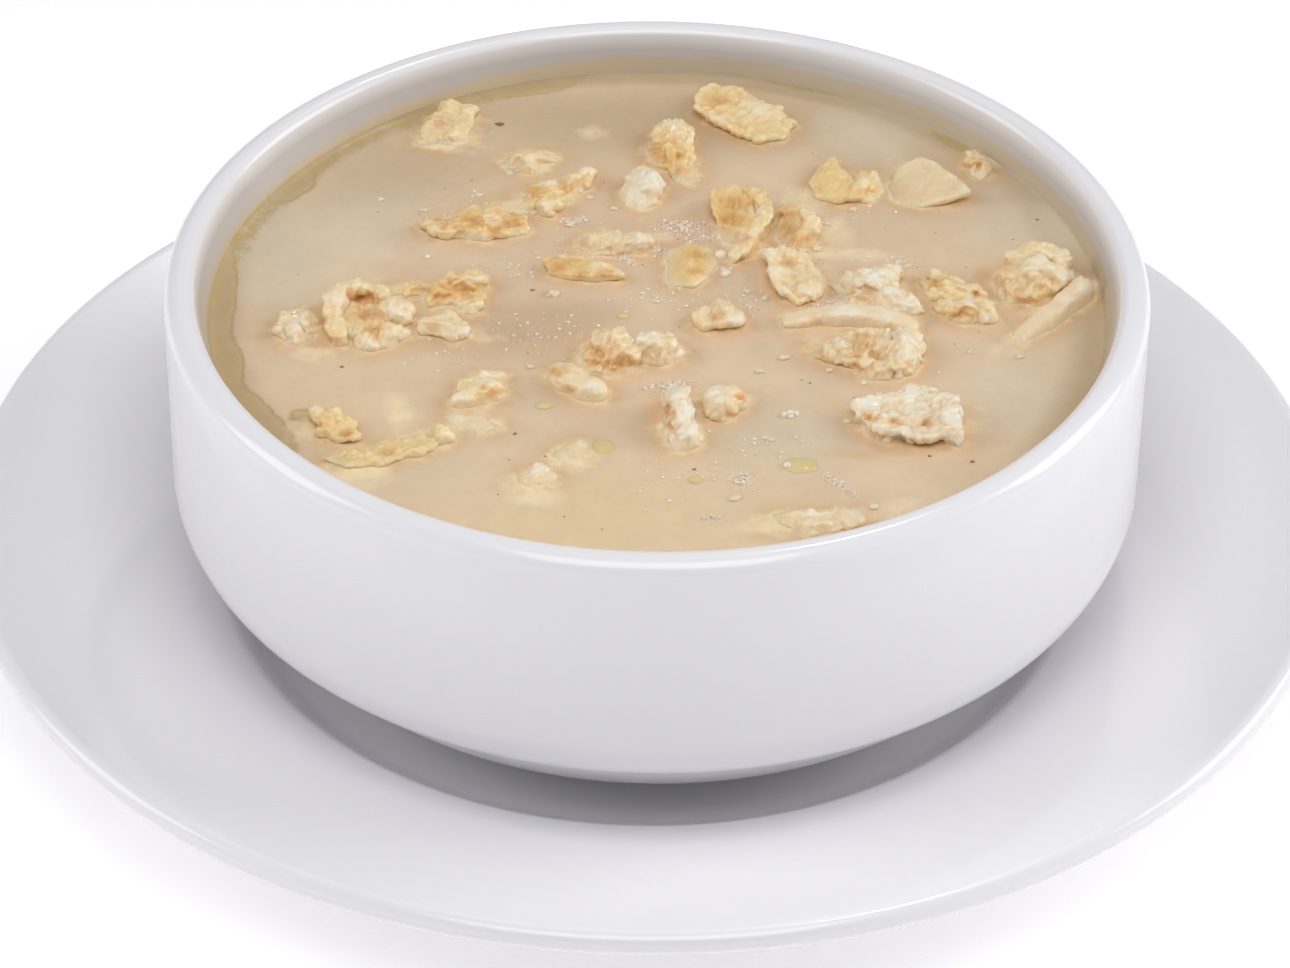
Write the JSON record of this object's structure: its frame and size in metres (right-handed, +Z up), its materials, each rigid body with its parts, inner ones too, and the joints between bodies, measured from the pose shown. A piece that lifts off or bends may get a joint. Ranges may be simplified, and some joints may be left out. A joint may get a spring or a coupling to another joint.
{
  "type": "bowl of tripe soup",
  "caption": "Round white porcelain soup bowl on its underplate, filled with creamy broth that flakes, curls and lumps of tripe stand out of.",
  "frame": {"origin": "middle of the underplate's underside, on the table", "axes": "+Z up, +Y away from the viewer of the picture, +X to the viewer's right"},
  "size_m": [0.185, 0.185, 0.0559],
  "materials": {
    "porcelain": "glazed white",
    "broth": "creamy, wet",
    "tripe": "boiled, moist"
  },
  "bodies": {
    "root": {"underplate": "porcelain", "soup_bowl": "porcelain", "soup": "broth", "tripe_flake_by_back_rim": "tripe", "tripe_flake_back": "tripe", "tripe_chunk_back": "tripe", "tripe_scrap_back_left": "tripe", "tripe_sliver_by_right_rim": "tripe", "tripe_leaf_back": "tripe", "tripe_flake_right_back": "tripe", "tripe_sheet_right_back": "tripe", "tripe_strip_left_back": "tripe", "tripe_strip_back": "tripe", "tripe_curl_centre": "tripe", "tripe_curl_right_of_centre": "tripe", "tripe_scrap_centre": "tripe", "tripe_strip_centre": "tripe", "tripe_patch_centre": "tripe", "tripe_flake_right_of_centre": "tripe", "tripe_crumple_right": "tripe", "tripe_crumple_far_right": "tripe", "tripe_chunk_by_right_rim": "tripe", "tripe_strip_by_right_rim": "tripe", "tripe_roll_left": "tripe", "tripe_fold_left": "tripe", "tripe_scrap_far_left": "tripe", "tripe_flake_left_of_centre": "tripe", "tripe_ridge_right": "tripe", "tripe_fold_right": "tripe", "tripe_wedge_centre": "tripe", "tripe_chunk_centre": "tripe", "tripe_bean_centre": "tripe", "tripe_twin_lobes_left": "tripe", "tripe_wedge_front": "tripe", "tripe_knob_front": "tripe", "tripe_cup_front_right": "tripe", "tripe_ear_front_left": "tripe", "tripe_strip_front_left": "tripe", "tripe_sliver_front_left": "tripe", "tripe_scrap_front": "tripe", "tripe_corner_front": "tripe", "tripe_sheet_front": "tripe"}
  },
  "joints": []
}
